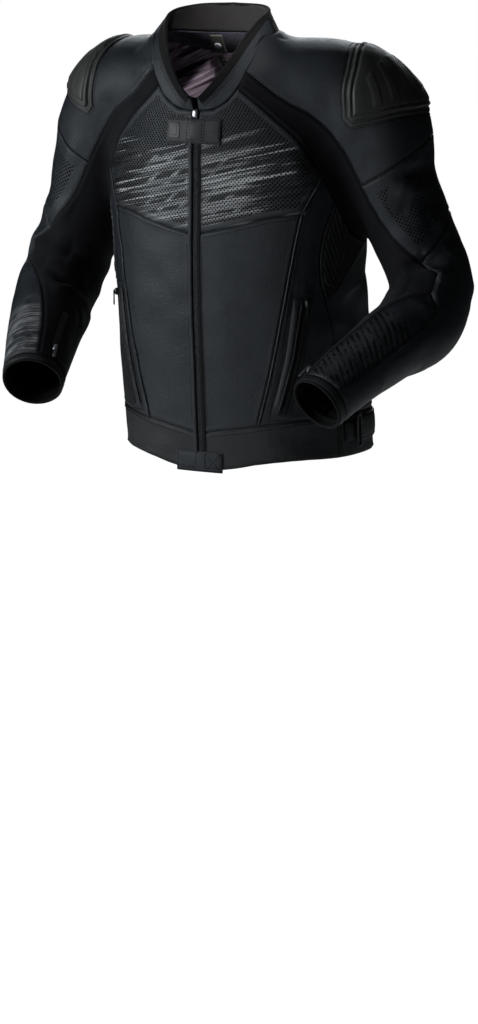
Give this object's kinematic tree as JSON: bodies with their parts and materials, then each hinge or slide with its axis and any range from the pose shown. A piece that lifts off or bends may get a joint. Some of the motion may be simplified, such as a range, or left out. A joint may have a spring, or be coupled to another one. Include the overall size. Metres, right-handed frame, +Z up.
{
  "type": "leather motorcycle jacket",
  "caption": "Leather motorcycle jacket in worn pose, filled out and empty, stand collar open in a V, moulded shoulder cups, ribbed side wedges, slanting zip pockets, waist adjusters.",
  "frame": {"origin": "where the wearer's shoulders carry the jacket: on its middle plane, level with the root of the neck", "axes": "+Z up, the front faces -Y, the wearer's left is +X"},
  "size_m": [0.6876, 0.3945, 0.6443],
  "materials": {
    "leather": "semi-matt grain",
    "stretch": "matt knit",
    "soft": "matt",
    "lining": "satin",
    "mesh": "open mesh",
    "cup": "moulded, semi-matt",
    "tape": "woven tape",
    "metal": "satin",
    "dark_metal": "black"
  },
  "bodies": {
    "jacket": {"adjuster_ring_left": "dark_metal", "adjuster_ring_right": "dark_metal", "adjuster_strap_left": "leather", "adjuster_strap_right": "leather", "adjuster_tab_left": "leather", "adjuster_tab_right": "leather", "back": "leather", "chest_left": "leather", "chest_right": "leather", "collar_back": "soft", "collar_facing": "soft", "collar_left": "leather", "collar_right": "leather", "cuff_band_left": "leather", "cuff_band_right": "leather", "cuff_slider_left": "dark_metal", "cuff_slider_right": "dark_metal", "elbow_left": "leather", "elbow_right": "leather", "forearm_left": "leather", "forearm_right": "leather", "front_left": "leather", "front_right": "leather", "hem_back": "leather", "hem_front_left": "leather", "hem_front_right": "leather", "hem_tab": "leather", "main_zip": "tape", "main_zip_slider": "metal", "neck_lining": "lining", "neck_mesh": "mesh", "neck_tab": "leather", "neck_tab_snap": "dark_metal", "pocket_slider_left": "dark_metal", "pocket_slider_right": "dark_metal", "pocket_welt_left": "leather", "pocket_welt_right": "leather", "pocket_zip_left": "tape", "pocket_zip_right": "tape", "rib_left": "leather", "rib_right": "leather", "shoulder_cup_left": "cup", "shoulder_cup_right": "cup", "shoulder_left": "leather", "shoulder_right": "leather", "side_back_left": "leather", "side_back_right": "leather", "side_left": "leather", "side_right": "leather", "size_label": "tape", "stretch_sleeve_left": "stretch", "stretch_sleeve_right": "stretch", "throat_strap": "leather", "upper_sleeve_left": "leather", "upper_sleeve_right": "leather"},
    "pocket_pull_left": {"pocket_pull_left": "metal"},
    "pocket_pull_right": {"pocket_pull_right": "metal"},
    "cuff_pull_left": {"cuff_pull_left": "metal"},
    "cuff_pull_right": {"cuff_pull_right": "metal"}
  },
  "joints": [
    {"name": "pocket_pull_left_hinge", "type": "hinge", "parent": "jacket", "child": "pocket_pull_left", "pos_m": [0.15341, -0.04898, -0.3194], "axis": [-0.6775, -0.7355, 0], "range_deg": [0, 110]},
    {"name": "pocket_pull_right_hinge", "type": "hinge", "parent": "jacket", "child": "pocket_pull_right", "pos_m": [-0.15341, -0.04898, -0.3194], "axis": [-0.6775, 0.7355, 0], "range_deg": [0, 110]},
    {"name": "cuff_pull_left_hinge", "type": "hinge", "parent": "jacket", "child": "cuff_pull_left", "pos_m": [0.19624, -0.1337, -0.39297], "axis": [-0.5452, 0.5698, -0.6149], "range_deg": [0, 110]},
    {"name": "cuff_pull_right_hinge", "type": "hinge", "parent": "jacket", "child": "cuff_pull_right", "pos_m": [-0.20024, -0.1275, -0.39155], "axis": [-0.5471, -0.6239, 0.558], "range_deg": [0, 110]}
  ]
}
